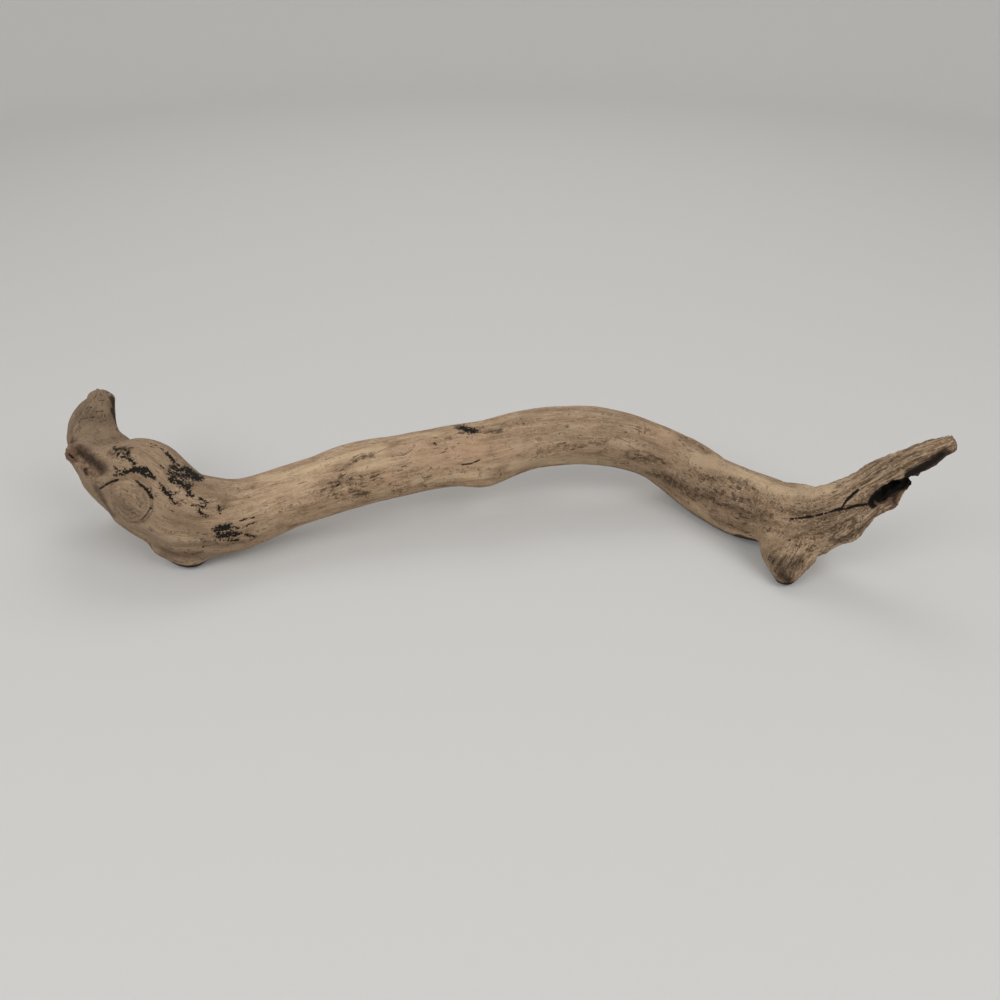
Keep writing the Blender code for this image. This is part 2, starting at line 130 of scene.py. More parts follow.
# Black beetle galleries, as the camera sees them: corners in thousandths of the picture's width, right and
# down from its top left corner, then half width in millimetres and strength. Narrow strokes in four groups.
galleries = {
    "shoulder": (
        (((149, 442), (156, 445.5)), 0.8, 1), (((148, 445), (153, 447), (158, 447.5)), 0.7, 1),
        (((146, 449), (150, 451)), 0.6, 1), (((161, 448), (165, 452), (168, 454)), 1.0, 1),
        (((167, 453), (172, 458), (178, 465)), 0.9, 1.4), (((165, 454), (170, 460), (175, 466)), 0.9, 0.7),
        (((160, 464), (164, 468)), 1.0, 1), (((172, 467), (180, 470), (186, 468)), 2.9, 1.05),
        (((173, 473), (182, 476), (190, 474)), 4.4, 1.05), (((190, 470), (195, 474), (197, 477)), 3.2, 1.5),
        (((172, 479), (182, 483), (190, 486)), 3.4, 1.05), (((184, 486), (189, 493), (192, 496)), 1.5, 1.1),
        (((190, 482), (192, 487)), 1.1, 1), (((159, 482), (161, 485)), 0.6, 1),
        (((162, 487), (166, 492), (170, 495)), 1.6, 1.25), (((169, 497), (173, 502), (179, 503)), 1.6, 1),
        (((174, 494), (178, 492)), 1.4, 0.7), (((186, 494), (187, 499)), 0.8, 0.8),
        (((200, 499), (207, 503)), 1.2, 1), (((198, 506), (206, 507)), 1.5, 0.95),
        (((199, 511), (206, 516)), 1.5, 1), (((192, 505), (194, 505)), 0.9, 1),
        (((219, 506), (220, 513)), 1.1, 1), (((218, 510), (226, 508)), 0.9, 0.9),
    ),
    "ring": (
        (((113.5, 446.5), (116, 450), (114, 453)), 1.1, 1.23), (((117.5, 449.5), (120, 447.5)), 1.4, 1.12),
        (((122, 448), (126, 449)), 1.5, 1.23), (((127.5, 451), (127, 454.5)), 1.5, 1.23),
        (((118.5, 452.5), (117, 455)), 1.2, 1.12), (((120, 457), (123, 456.5)), 1.1, 1.12),
        (((122.5, 452), (123.5, 454)), 0.9, 1.01), (((127, 457), (131, 460)), 1.4, 1.23),
        (((133, 463.5), (135, 463)), 1.4, 1.12), (((114, 467), (117, 469)), 1.0, 1.01),
        (((117, 470), (119, 471)), 0.9, 1.12), (((116, 473), (124, 475)), 0.9, 1.12),
        (((113, 476), (118, 476)), 0.8, 0.9), (((123, 472), (130, 471), (135, 469)), 1.4, 1.3),
        (((135, 469), (140, 470), (144, 471)), 1.8, 1.4), (((143, 468), (148, 471)), 1.3, 1.3),
        (((144, 475), (149, 475)), 1.9, 1.12), (((149, 473), (153, 477), (155, 479)), 0.9, 1.34),
    ),
    "low": (
        (((215, 532), (218, 532)), 1.1, 1), (((218, 530), (229, 527)), 3.0, 1.15),
        (((219, 536), (234, 534)), 3.2, 1.15), (((229, 526), (237, 527)), 0.7, 1),
        (((240, 521), (249, 518), (255, 518)), 0.7, 1), (((245, 526), (251, 524), (257, 522)), 0.8, 1),
        (((237, 529), (243, 528)), 0.7, 1), (((231, 537), (242, 533)), 1.3, 1.1),
        (((246, 535), (256, 537)), 1.4, 1.1), (((228, 541), (238, 540)), 1.3, 1.1),
        (((227, 545), (236, 543)), 0.6, 1), (((202, 547), (209, 546)), 0.9, 1),
        (((201, 534), (205, 535)), 0.5, 0.9), (((250, 540), (253, 540)), 0.5, 0.9),
        (((207, 541), (214, 541)), 0.5, 0.7),
    ),
    "top": (
        (((461, 427), (468, 429), (473, 430)), 2.7, 1.35), (((467, 432), (470, 434)), 1.1, 1),
        (((487, 432), (492, 432)), 1.0, 0.9), (((434, 443), (436, 444)), 1.0, 1.1),
        (((336, 486), (340, 484)), 0.7, 1.1), (((767, 531), (770, 529)), 0.9, 0.9),
        (((786, 540), (790, 540)), 0.9, 0.9),
    ),
}

# Brown mottled patches, where the last bast wore off: corners in the picture, half width and strength.
stains = (
    (((318, 496), (330, 493), (345, 497)), 4.1, 0.8), (((330, 486), (345, 481), (365, 482)), 5.4, 0.95),
    (((352, 492), (366, 494)), 4.1, 1.15), (((340, 468), (352, 462), (372, 455)), 2.7, 0.7),
    (((370, 478), (392, 484)), 3.4, 0.8), (((395, 492), (425, 486)), 3.4, 0.65),
    (((425, 479), (455, 472), (480, 470)), 2.4, 0.5), (((430, 452), (446, 450)), 2.7, 0.6),
    (((458, 426), (470, 431), (480, 429), (497, 431)), 4.1, 0.95), (((430, 441), (450, 437)), 2.7, 0.5),
    (((500, 426), (530, 420)), 3.4, 0.6), (((540, 452), (565, 446), (582, 446)), 3.4, 0.75),
    (((590, 442), (606, 442)), 2.7, 0.6), (((596, 454), (604, 452)), 2.7, 0.6),
    (((560, 420), (566, 420)), 2.0, 0.6), (((640, 453), (626, 452)), 3.4, 0.7),
    (((626, 458), (645, 459), (665, 464)), 5.4, 0.95), (((655, 474), (672, 482), (684, 490)), 6.1, 1.15),
    (((690, 472), (715, 480), (745, 483)), 4.8, 0.8), (((688, 492), (705, 498)), 4.8, 1.1),
    (((715, 492), (735, 498), (755, 500)), 8.2, 0.95), (((715, 506), (730, 508)), 4.1, 1),
    (((735, 512), (750, 515), (765, 512)), 6.1, 1.15), (((765, 502), (790, 511), (820, 516)), 7.0, 0.75),
    (((728, 488), (752, 486)), 4.1, 0.9), (((712, 516), (720, 521), (745, 530)), 4.4, 0.95),
    (((680, 436), (696, 443), (708, 452)), 2.7, 0.9), (((640, 431), (655, 434)), 2.0, 0.5),
    (((760, 525), (785, 532), (800, 545)), 4.8, 0.6), (((775, 555), (790, 565), (800, 560)), 6.8, 0.75),
    (((780, 572), (790, 578)), 6.1, 1), (((820, 525), (845, 528)), 6.1, 0.75),
    (((835, 540), (860, 530)), 4.1, 0.75), (((860, 510), (875, 505)), 4.8, 0.6),
    (((205, 540), (225, 546)), 3.4, 0.5), (((113, 452), (120, 448), (128, 452)), 4.6, 1.1),
    (((180, 553), (200, 552)), 2.7, 0.5),
)

# Pinkish heartwood that shows through: corners in the picture, half width and strength.
warmPlaces = (
    (((420, 455), (450, 455), (480, 450)), 7.5, 1), (((430, 466), (480, 478)), 6.1, 0.9),
    (((388, 478), (400, 490)), 5.4, 0.8), (((500, 452), (520, 458)), 5.4, 0.6),
    (((560, 462), (600, 466)), 4.1, 0.7), (((640, 428), (668, 436)), 5.4, 0.6),
    (((690, 465), (712, 462)), 5.4, 0.5), (((135, 505), (150, 520)), 6.1, 0.5),
    (((205, 478), (220, 492)), 5.4, 0.4), (((345, 452), (372, 446)), 4.8, 0.5),
)

# Pale places, rubbed smooth, and painted light on the arch's shaded underside (the row from 515 to 605):
# corners in the picture, half width and strength.
rubbedAndPaintedLight = (
    (((262, 478), (300, 470), (340, 458), (380, 448)), 6.1, 0.8), (((360, 466), (385, 460)), 5.4, 0.7),
    (((515, 466), (560, 461), (605, 464)), 5.6, 1.3), (((415, 482), (445, 478), (480, 474)), 4.4, 0.8),
    (((785, 487), (810, 487), (830, 488), (848, 480)), 5.2, 0.9),
    (((275, 490), (300, 489), (310, 480)), 6.1, 0.5), (((400, 438), (440, 433)), 4.1, 0.6),
    (((695, 459), (720, 464), (745, 474)), 6.1, 1.2), (((760, 480), (785, 488), (812, 490)), 7.0, 1.3),
    (((695, 505), (706, 516)), 4.1, 0.7), (((770, 535), (790, 540)), 4.8, 0.6),
)

# Drying cracks and seams: corners in the picture, half width, depth and darkness.
cracks = (
    (((99, 489), (103, 487), (107, 484), (112, 481.5), (117, 480)), 0.7, 0.8, 1.1),
    (((136, 481), (142, 485), (147, 489), (151, 495), (152, 498)), 0.65, 0.9, 1.2),
    (((138, 484), (144, 488), (148, 493), (150, 497)), 0.5, 0.6, 1),
    (((151, 507), (148, 512), (144, 517), (140, 520)), 0.6, 0.6, 0.9),
    (((67, 450), (71, 455), (76, 460), (86, 471)), 0.6, 0.4, 1.2), (((73, 437), (78, 441)), 0.5, 0.3, 0.8),
    (((84, 408), (91, 407)), 0.5, 0.5, 0.9), (((95, 412), (104, 411)), 0.5, 0.5, 0.9),
    (((82, 419), (93, 417), (98, 418)), 0.5, 0.5, 0.9), (((100, 422), (108, 420)), 0.5, 0.4, 0.8),
    (((84, 430), (96, 428)), 0.5, 0.4, 0.8), (((98, 400), (105, 401)), 0.45, 0.4, 0.8),
    (((130, 524), (136, 522)), 0.6, 0.4, 0.6), (((352, 458), (362, 453)), 0.5, 0.4, 0.8),
    (((378, 452), (390, 446), (398, 443)), 0.5, 0.4, 0.7),
    (((392, 456), (404, 455), (413, 449)), 0.6, 0.4, 0.7), (((340, 476), (346, 474)), 0.6, 0.4, 0.8),
    (((370, 478), (380, 474)), 0.7, 0.4, 0.8), (((402, 467), (406, 465)), 0.7, 0.4, 0.7),
    (((462, 465), (470, 464), (480, 460)), 0.7, 0.4, 0.9), (((500, 427), (508, 424)), 0.5, 0.3, 0.7),
    (((549, 432), (551, 438)), 0.5, 0.3, 0.6), (((500, 470), (501, 475)), 0.6, 0.3, 0.8),
    (((628, 425), (640, 427)), 0.5, 0.3, 0.7), (((660, 441), (672, 445)), 0.4, 0.3, 0.6),
    (((640, 419), (665, 428), (690, 440), (712, 452)), 0.8, 0.3, 0.55),
    (((858, 490), (854, 493), (850, 496), (847, 500), (844, 504), (841, 509)), 0.55, 0.6, 1.6),
    (((790, 519), (800, 518), (810, 517), (820, 515), (830, 512), (840, 509), (849, 508), (858, 506),
     (870, 504)), 0.5, 0.5, 1.4),
    # The last row is no crack: it paints black shade along the long prong's downward facet.
    (((908, 475), (920, 469), (932, 462), (942, 455)), 2.1, 0.3, 1.2),
)

# Darker brown wood, and painted shade: black contact shadow under the belly and the left foot, and shade on
# the beak's broken scoop and under the long prong. Corners in the picture, half width and strength.
darkWoodAndPaintedShade = (
    (((180, 518), (200, 530)), 12, 0.42), (((118, 505), (132, 512)), 9, 0.42),
    (((165, 552), (195, 555)), 7, 0.5),
    (((772, 560), (785, 568), (800, 562)), 7, 0.62), (((815, 530), (840, 535)), 7, 0.4),
    (((670, 480), (700, 492), (745, 512)), 9, 0.42), (((80, 415), (105, 420)), 10, 0.5),
    (((205, 484), (225, 500)), 8, 0.36), (((96, 488), (103, 500), (112, 514)), 5, 0.62),
    (((72, 444), (82, 452), (92, 459), (104, 469)), 5.0, 0.8), (((76, 440), (95, 444)), 2.7, 0.45),
    (((86, 470), (88, 474)), 2.0, 0.9), (((780, 575), (788, 581)), 4.1, 0.8),
    (((904, 481), (914, 475), (930, 466), (944, 456)), 4.8, 1.8),
    (((915, 486), (905, 495), (895, 504)), 2.7, 0.75),
    (((865, 525), (850, 536), (835, 543)), 2.7, 0.6), (((955, 438), (957, 446)), 2.0, 0.5),
    (((150, 545), (152, 553)), 2.7, 0.7), (((112, 398), (114, 405)), 2.2, 1.3),
    (((113, 410), (118, 425)), 2.2, 1.2), (((100, 396), (108, 404)), 6, 0.4),
    # Painted contact shadow, black, along the floor under the belly and under the left foot.
    (((708, 524), (720, 530), (740, 537), (757, 541)), 2.8, 1.7),
    (((162, 560), (175, 564), (192, 567)), 2.2, 1.6),
)

skin = {
    "name": "driftwood_skin",
    "cell": 1.2,  # width of a quad
    "smoothRounds": 36,  # takes out the CAD's flat facets
    "crispRounds": 3,  # the same at broken places, whose edges stay sharp
    "crispReach": 3.5,
    "spread": 1.35,  # how far a gallery fades out, in parts of its half width
    "contactShadowHeight": (3, 8),  # painted contact shadow on the underside: full up to the first height and gone at the second
    "smoothPull": 0.33,
    "smoothPush": 0.342,
    "grainSteps": 26,  # how many steps a streak is followed each way
    "stride": 1.0,
    "fineGrain": (1.5, 14),  # width of the finest streak, and how far it is followed
    "mediumGrain": (3.0, 24),
    "broadGrain": (8.0, 26),
}

relief = {
    "grooveRange": (0.3, 2.2),  # streak value at which a groove starts, and at which it is full
    "fineGroove": 0.2,
    "mediumGroove": 0.4,
    "forkGroove": 1.1,
    "ripple": 0.12,
    "forkLumps": 0.45,
    "pitDepth": 0.5,
    "markDepth": 0.4,
    "tornDepth": 0.7,
    "hollowLumps": 1.1,
    "beakFibres": 0.6,
    "beakFill": 1.6,
}

# How weathered the wood is along X, from 0, where it is rubbed pale, to 1, where it is dark and furrowed.
weathering = (
    (-275, 0.75), (-262, 0.7), (-240, 0.6), (-200, 0.6), (-170, 0.45), (-120, 0.05), (-60, 0.05), (-10, 0.12),
    (40, 0.35), (90, 0.48), (125, 0.45), (150, 0.45), (175, 0.35), (200, 0.4), (230, 0.45), (260, 0.45),
    (281, 0.4))


def unit(vectors):
    # Each vector divided by its own length.
    return vectors / np.maximum(np.linalg.norm(vectors, axis=-1, keepdims=True), 1e-9)


def smoothStep(values, low, high):
    # 3t^2 - 2t^3, with t going from 0 at low to 1 at high.
    t = np.clip((values - low) / (high - low), 0, 1)
    return t * t * (3 - 2 * t)


def bell(distance, width):
    # e to the minus square of distance over width.
    return np.exp(-(distance / width) ** 2)


randomDraws = np.random.default_rng(11)
shuffled = randomDraws.permutation(256)
slopes = unit(randomDraws.normal(size=(256, 3)))


def noise(places, seed=0):
    # Gradient noise: each corner of a cell has a random slope, and its dot with the way from that corner
    # is eased between the eight corners by 6t^5 - 15t^4 + 10t^3.
    places = places + seed * 17.31
    cell = np.floor(places).astype(int)
    part = places - cell
    ease = part**3 * (part * (part * 6 - 15) + 10)
    total = np.zeros(len(places))
    for corner in range(8):
        step = np.array([corner & 1, corner >> 1 & 1, corner >> 2 & 1])
        x, y, z = ((cell + step) & 255).T
        slope = slopes[shuffled[(shuffled[(shuffled[x] + y) & 255] + z) & 255]]
        weight = np.where(step, ease, 1 - ease).prod(axis=1)
        total += weight * (slope * (part - step)).sum(axis=1)
    return total * 1.7


def cameraPlace():
    # The aim plus the distance times (0, -cos, sin) of the elevation.
    lift = math.radians(studio["elevation"])
    return np.array(studio["aim"]) + studio["distance"] * np.array((0, -math.cos(lift), math.sin(lift)))


def seenPlace(tree, x, y):
    # Where the ray from the camera through a place of the picture first meets the wood.
    lift = math.radians(studio["elevation"])
    focus = 1000 * studio["lens"] / studio["sensor"]
    ahead = np.array((0, math.cos(lift), -math.sin(lift)))
    up = np.array((0, math.sin(lift), math.cos(lift)))
    ray = unit(focus * ahead + (x - 500) * np.array((1, 0, 0)) + (500 - y) * up)
    start = cameraPlace()
    met = tree.ray_cast(start.tolist(), ray.tolist())[0]
    if met is None:
        met = tree.find_nearest((start + studio["distance"] * ray).tolist())[0]
    return tuple(met)


def curveThrough(rows, steps):
    # Catmull-Rom: between two rows, the cubic whose slope at a row is half the way from the row before to the
    # one after.
    rows = np.array(rows, float)
    held = np.vstack([2 * rows[0] - rows[1], rows, 2 * rows[-1] - rows[-2]])
    before, start, end, after = (held[k:len(held) - 3 + k, None] for k in range(4))
    t = (np.arange(steps) / steps)[None, :, None]
    bend = 2 * before - 5 * start + 4 * end - after + t * (3 * (start - end) + after - before)
    cubic = start + 0.5 * t * (end - before + t * bend)
    return np.vstack([cubic.reshape(-1, rows.shape[1]), rows[-1:]])


def readLimb(points, rows):
    # Along, side and over are the point's offsets in the frame of the nearest row of the centre line, and its
    # share of the limb falls off as e to the minus 2.5 (past + past^2), past being how far outside the
    # ellipse it is.
    line = curveThrough(rows, 5)
    centre, deep, tall = line[:, :3] + layoutShift, line[:, 3], line[:, 4]
    ahead = unit(np.gradient(centre, axis=0))
    side = unit(np.cross((0, 1, 0), ahead))
    over = np.cross(ahead, side)
    arc = np.concatenate([[0], np.cumsum(np.linalg.norm(np.diff(centre, axis=0), axis=1))])
    row = ((centre**2).sum(axis=1) - 2 * points @ centre.T).argmin(axis=1)
    off = points - centre[row]
    along, aside, above = ((off * way[row]).sum(axis=1) for way in (ahead, side, over))
    beyond = np.where((row == 0) | (row == len(line) - 1), np.abs(along), 0)
    past = np.maximum(0, np.sqrt((aside / tall[row])**2 + (above / deep[row])**2) + beyond / tall[row] - 0.9)
    share = np.exp(-2.5 * (past + past**2)) + 1e-9
    return {"along": arc[row] + along, "side": aside, "over": above, "share": share, "ahead": ahead[row]}


def lineDistance(points, corners):
    # Distance to the nearest point of a line of straight pieces.
    corners = np.array(corners, float)
    nearest = np.full(len(points), 1e9)
    for start, end in zip(corners, corners[1:]):
        piece = end - start
        t = np.clip((points - start) @ piece / max(piece.dot(piece), 1e-6), 0, 1)
        nearest = np.minimum(nearest, np.linalg.norm(points - start - t[:, None] * piece, axis=1))
    return nearest


def insideCut(points, cut):
    # Distance from the middle of an ellipsoid, in parts of its half sizes: 1 on its wall. Then the same
    # along each of its axes.
    along, out = unit(np.array(cut["along"], float)), unit(np.array(cut["out"], float))
    out = unit(out - out.dot(along) * along)
    axes = np.stack([along, out, np.cross(along, out)])
    parts = (points - np.add(cut["centre"], layoutShift)) @ axes.T / cut["half"]
    return np.linalg.norm(parts, axis=1), parts


def denseSkin(node, cell):
    # The node's loose triangles welded into one shell, then rebuilt as even quads of one cell's width.
    shell = bmesh.new()
    shell.from_mesh(node.data)
    bmesh.ops.remove_doubles(shell, verts=shell.verts, dist=0.00001)
    mesh = bpy.data.meshes.new(skin["name"])
    shell.to_mesh(mesh)
    shell.free()
    piece = bpy.data.objects.new(skin["name"], mesh)
    bpy.context.scene.collection.objects.link(piece)
    evenQuads = piece.modifiers.new("evenQuads", "REMESH")
    evenQuads.mode = "VOXEL"
    evenQuads.voxel_size = cell * mm
    graph = bpy.context.evaluated_depsgraph_get()
    piece.data = bpy.data.meshes.new_from_object(piece.evaluated_get(graph))
    piece.modifiers.clear()
    return piece


def readArray(items, name, width, kind=float):
    # One property of all vertices, edges or loops, as rows.
    values = np.empty(len(items) * width, kind)
    items.foreach_get(name, values)
    return values.reshape(-1, width) if width > 1 else values


def smoothed(points, edges, rounds, pull, push):
    # Each round moves every point a share of the way to the mean of its neighbours, then a slightly larger
    # share back, which takes out what is narrower than a facet and keeps the volume.
    count = len(points)
    first, second = edges.T
    degree = np.bincount(edges.ravel(), minlength=count)[:, None]
    for _ in range(rounds):
        for step in (pull, -push):
            total = np.column_stack([
                np.bincount(first, points[second, k], count) + np.bincount(second, points[first, k], count)
                for k in range(3)])
            points = points + step * (total / degree - points)
    return points


def neighbourTable(quads, count):
    # Row k lists vertex k, then every vertex that shares a quad with it, padded with k itself.
    pairs = np.concatenate([
        quads[:, a].astype(np.int64) * count + quads[:, b] for a in range(4) for b in range(4) if a != b])
    start, end = np.divmod(np.unique(pairs), count)
    slot = np.arange(len(start)) - np.searchsorted(start, np.arange(count))[start]
    table = np.repeat(np.arange(count)[:, None], slot.max() + 2, axis=1)
    table[start, slot + 1] = end
    return table


def aroundKnot(points, knot):
    # Height over the knot's face, the offset along the face, and its length.
    out = unit(np.array(knot["out"], float))
    offset = points - np.add(knot["centre"], layoutShift)
    level = offset @ out
    across = offset - level[:, None] * out
    return level, across, np.linalg.norm(across, axis=1)


def grainWay(points, normals, readings):
    # The main axis of the limbs' own ways, each weighted by its share, laid on the surface. Round a knot it
    # is the way that water flows round a post: u - (R/r)^2 (2 (u.r) r - u) outside, and along the rings
    # inside.
    shares = np.stack([reading["share"] for reading in readings.values()])
    ways = np.stack([reading["ahead"] for reading in readings.values()])
    tensor = np.einsum("kn,kni,knj->nij", shares, ways, ways)
    way = np.linalg.eigh(tensor)[1][:, :, 2]
    way *= np.where(way[:, :1] < 0, -1, 1)
    for knot in knots:
        level, across, distance = aroundKnot(points, knot)
        outward = across / np.maximum(distance, 0.01)[:, None]
        out = unit(np.array(knot["out"], float))
        flat = unit(way - (way @ out)[:, None] * out)
        ratio = (knot["radius"] / np.maximum(distance, knot["radius"]))**2
        flow = flat - ratio[:, None] * (2 * (flat * outward).sum(axis=1)[:, None] * outward - flat)
        ring = np.cross(out, outward)
        inside = (distance < knot["radius"])[:, None]
        ring *= np.where((ring * flow).sum(axis=1) < 0, -1, 1)[:, None]
        turned = np.where(inside, ring, unit(flow))
        fade = smoothStep(distance, 2 * knot["radius"], 3.4 * knot["radius"])
        near = bell(level, 1.3 * knot["radius"]) * (1 - fade)
        way = unit(way + near[:, None] * (turned - way))
    laid = way - (way * normals).sum(axis=1)[:, None] * normals
    return unit(laid), 1 - np.linalg.norm(laid, axis=1)


def followGrain(points, normals, table, way, steps, stride):
    # From every vertex at once, steps of one stride along the grain, each snapped to the nearest vertex that
    # it passes. The place itself isn't snapped, so a streak stays straight.
    count = len(points)
    walks = [np.arange(count)]
    for sign in (1, -1):
        here, place, heading = np.arange(count), points.copy(), way * sign
        for _ in range(steps):
            place = place + heading * stride
            near = table[here]
            here = near[np.arange(count), ((points[near] - place[:, None])**2).sum(axis=2).argmin(axis=1)]
            lift = ((place - points[here]) * normals[here]).sum(axis=1)
            place = place - lift[:, None] * normals[here]
            ahead = way[here]
            heading = ahead * np.where((ahead * heading).sum(axis=1) < 0, -1, 1)[:, None]
            walks.append(here)
    return walks


def streaks(values, walks, steps, reach):
    # The mean of the values along the grain, weighted by a raised cosine, and brought to a spread of 1.
    total = values.copy()
    for k, walk in enumerate(walks[1:]):
        distance = (k % steps + 1) * skin["stride"]
        if distance < reach:
            total += values[walk] * (0.5 + 0.5 * math.cos(math.pi * distance / reach))
    return (total - total.mean()) / total.std()


def storeVector(mesh, name, columns):
    # Three columns of numbers kept on the vertices, for the material to read.
    attribute = mesh.attributes.new(name, "FLOAT_VECTOR", "POINT")
    attribute.data.foreach_set("vector", np.column_stack(columns).astype(np.float32).ravel())


def strongest(points, tree, places):
    # The highest bell over a list of (corners in the picture, half width, strength).
    found = np.zeros(len(points))
    for corners, width, strength in places:
        line = [seenPlace(tree, *corner) for corner in corners]
        found = np.maximum(found, strength * bell(lineDistance(points, line), width))
    return found


def makeSkin(node):
    # The dense skin, moved along its normals by the sum of grooves, knot rings, pits, galleries and cracks.
    piece = denseSkin(node, skin["cell"])
    mesh = piece.data
    rough = readArray(mesh.vertices, "co", 3) / mm
    edges = readArray(mesh.edges, "vertices", 2, np.int32)
    quads = readArray(mesh.loops, "vertex_index", 1, np.int32).reshape(-1, 4)
    print("skin mesh:", len(rough), "vertices,", 2 * len(quads), "triangles")
    crisp = smoothed(rough, edges, skin["crispRounds"], skin["smoothPull"], skin["smoothPush"])
    points = smoothed(crisp, edges, skin["smoothRounds"], skin["smoothPull"], skin["smoothPush"])
    hollow, inHollow = insideCut(rough, cuts["hollow"])
    beakFace, inBeak = insideCut(rough, cuts["beakFace"])
    deepCrack = np.min([lineDistance(rough, np.add(line, layoutShift)) for line in deepCracks], axis=0)
    nearCrack = bell(np.maximum(0, deepCrack - 2), skin["crispReach"])
    nearHollow = 1 - smoothStep(hollow, 1.1, 1.6)
    nearTip = smoothStep(-inBeak[:, 0] - inBeak[:, 1], -0.2, 0.8)
    kept = np.max([nearCrack, nearHollow, (1 - smoothStep(beakFace, 1.15, 1.6)) * nearTip], axis=0)
    points = points + kept[:, None] * (crisp - points)
    mesh.vertices.foreach_set("co", (points * mm).ravel())
    mesh.update()
    normals = readArray(mesh.vertex_normals, "vector", 3)
    tree = BVHTree.FromPolygons(points.tolist(), quads.tolist())

    print("following the grain")
    readings = {name: readLimb(points, rows) for name, rows in limbLines.items()}
    way, endGrain = grainWay(points, normals, readings)
    table = neighbourTable(quads, len(points))
    walks = followGrain(points, normals, table, way, skin["grainSteps"], skin["stride"])
    fine, medium, broad = (
        streaks(noise(points / width, seed), walks, skin["grainSteps"], reach)
        for seed, (width, reach) in enumerate((skin["fineGrain"], skin["mediumGrain"], skin["broadGrain"])))

    print("galleries, stains and cracks")
    x = points[:, 0]
    wear = np.interp(x, *zip(*weathering))
    prong = readings["backProng"]["share"] * smoothStep(readings["backProng"]["along"], 15, 40)
    wear = np.clip(wear + 0.5 * prong + 0.12 * noise(points / 22, 3), 0, 1)
    grit = noise(points / 2.3, 4) + 0.6 * noise(points / 1.25, 5)
    lumps = noise(points / 4.6, 6)
    gallery = np.full(len(points), -1.0)
    for strokes in galleries.values():
        for corners, width, strength in strokes:
            line = [seenPlace(tree, *corner) for corner in corners]
            gallery = np.maximum(gallery, strength - lineDistance(points, line) / (skin["spread"] * width))
    # pale also carries painted light under the arch, and dark carries painted shade (contact shadow, the
    # beak's scoop, the prong's underside) as well as darker wood.
    stain, warm, pale, dark = (
        strongest(points, tree, places) for places in (stains, warmPlaces, rubbedAndPaintedLight, darkWoodAndPaintedShade))
    fibrous = np.clip(smoothStep(x, 160, 215) * (1 - 0.85 * pale) + 0.45 * prong, 0, 1)
    furrowed = 0.3 + 0.7 * fibrous

    grooveDepth = relief["mediumGroove"] + relief["forkGroove"] * fibrous
    height = -grooveDepth * furrowed * smoothStep(medium, *relief["grooveRange"])
    height -= relief["fineGroove"] * (0.5 + 2 * fibrous) * smoothStep(fine, *relief["grooveRange"])
    height += relief["forkLumps"] * smoothStep(x, 195, 225) * (lumps + 0.6 * grit)
    height += relief["ripple"] * (broad + 0.5 * noise(points / 5, 7))
    height -= relief["pitDepth"] * stain * np.clip(0.3 + grit + lumps, 0, 1.4)
    height -= relief["markDepth"] * smoothStep(gallery + 0.3 * grit, 0, 0.5)
    height -= relief["tornDepth"] * np.clip(endGrain - 0.3, 0, 0.6) * np.clip(grit + 0.4, 0, 1)
    height += relief["hollowLumps"] * (1 - smoothStep(hollow, 1.05, 1.3)) * (lumps + 0.5 * grit)
    height += relief["beakFibres"] * (1 - smoothStep(beakFace, 1.0, 1.5)) * (medium + 0.6 * grit)
    height += relief["beakFill"] * (1 - smoothStep(beakFace, 0.9, 1.3))
    rings = np.zeros(len(points))
    crack = bell(deepCrack, 1.15)
    for knot in knots:
        level, across, distance = aroundKnot(points, knot)
        wander = 2.2 * noise(points / 13, 8) + 0.5 * noise(points / 4, 9)
        face = bell(level, knot["radius"])
        face = face * (1 - smoothStep(distance, 0.92 * knot["radius"], 1.15 * knot["radius"]))
        wave = np.cos(2 * math.pi * (distance + wander) / knot["ringGap"])
        wave = wave * (0.7 + 0.6 * noise(points / 7, 10))
        height += knot["ringHeight"] * face * wave
        rings = np.maximum(rings, face * smoothStep(-wave, 0.1, 0.9))
        groove = bell(level, knot["radius"]) * bell(distance + 0.6 * wander - 1.02 * knot["radius"], 0.9)
        height -= 2 * knot["ringHeight"] * groove
        crack = np.maximum(crack, 0.55 * groove * (1 + 0.5 * grit))
    for corners, width, depth, darkness in cracks:
        line = [seenPlace(tree, *corner) for corner in corners]
        distance = lineDistance(points, line) + 0.15 * noise(points / 3, 9)
        height -= depth * bell(distance, width)
        crack = np.maximum(crack, darkness * bell(distance, 1.15 * width))

    placed = points + normals * height[:, None]
    placed[:, 2] = np.maximum(placed[:, 2], 0)
    mesh.vertices.foreach_set("co", (placed * mm).ravel())
    mesh.update()

    cavity = smoothStep(medium, 0.4, 2.2) * furrowed + 0.5 * smoothStep(fine, 0.6, 2.2) * (0.3 + fibrous)
    shares = np.stack([reading["share"] for reading in readings.values()])
    shares = shares / shares.sum(axis=0)
    storeVector(mesh, "grain", [
        sum(share * reading[name] for share, reading in zip(shares, readings.values()))
        for name in ("along", "side", "over")])
    streak = -(0.035 + 0.06 * fibrous) * medium - 0.04 * broad - (0.03 + 0.05 * fibrous) * fine
    storeVector(mesh, "streaks", [streak, fine, medium])
    # Painted contact shadow: the wood darkens close to the floor, and this goes out in the crack channel of
    # the marks.
    contactShadow = 1 - smoothStep(placed[:, 2], *skin["contactShadowHeight"])
    storeVector(mesh, "marks", [gallery, stain, np.maximum(crack, contactShadow)])
    storeVector(mesh, "wear", [wear, np.clip(cavity, 0, 1.5), fibrous])
    storeVector(mesh, "tints", [warm, pale, rings])
